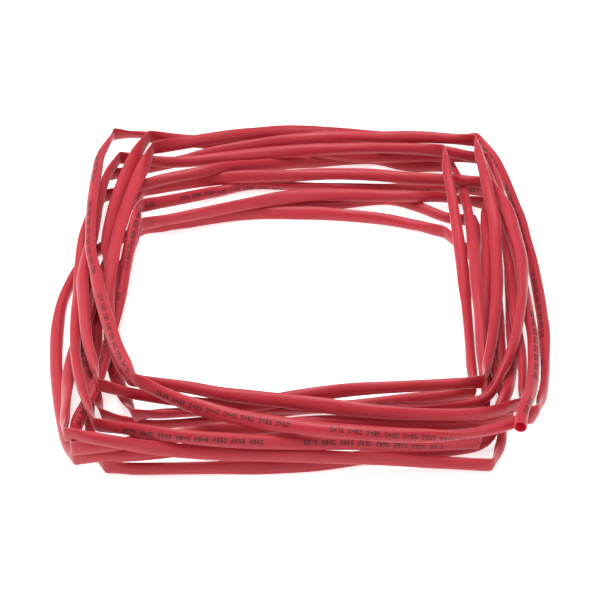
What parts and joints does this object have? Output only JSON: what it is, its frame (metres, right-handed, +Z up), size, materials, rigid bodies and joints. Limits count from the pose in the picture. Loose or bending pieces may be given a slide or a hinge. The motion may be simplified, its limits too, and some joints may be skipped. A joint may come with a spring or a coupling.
{
  "type": "heat shrink tube",
  "caption": "Thin-walled round heat shrink tubing, one continuous hollow length wound into a loose four-cornered hank that lies flat, folded at its corners.",
  "frame": {"origin": "centre of the hank's bounding box, on the surface that it lies on", "axes": "+Z up through the hank's eye, +Y along its longer side away from the cut end, +X to the right of someone who faces along +Y"},
  "size_m": [0.151, 0.1712, 0.0226],
  "materials": {
    "tube": "extruded cross-linked polyolefin, satin red"
  },
  "bodies": {
    "root": {"heat_shrink_tube": "tube"}
  },
  "joints": []
}
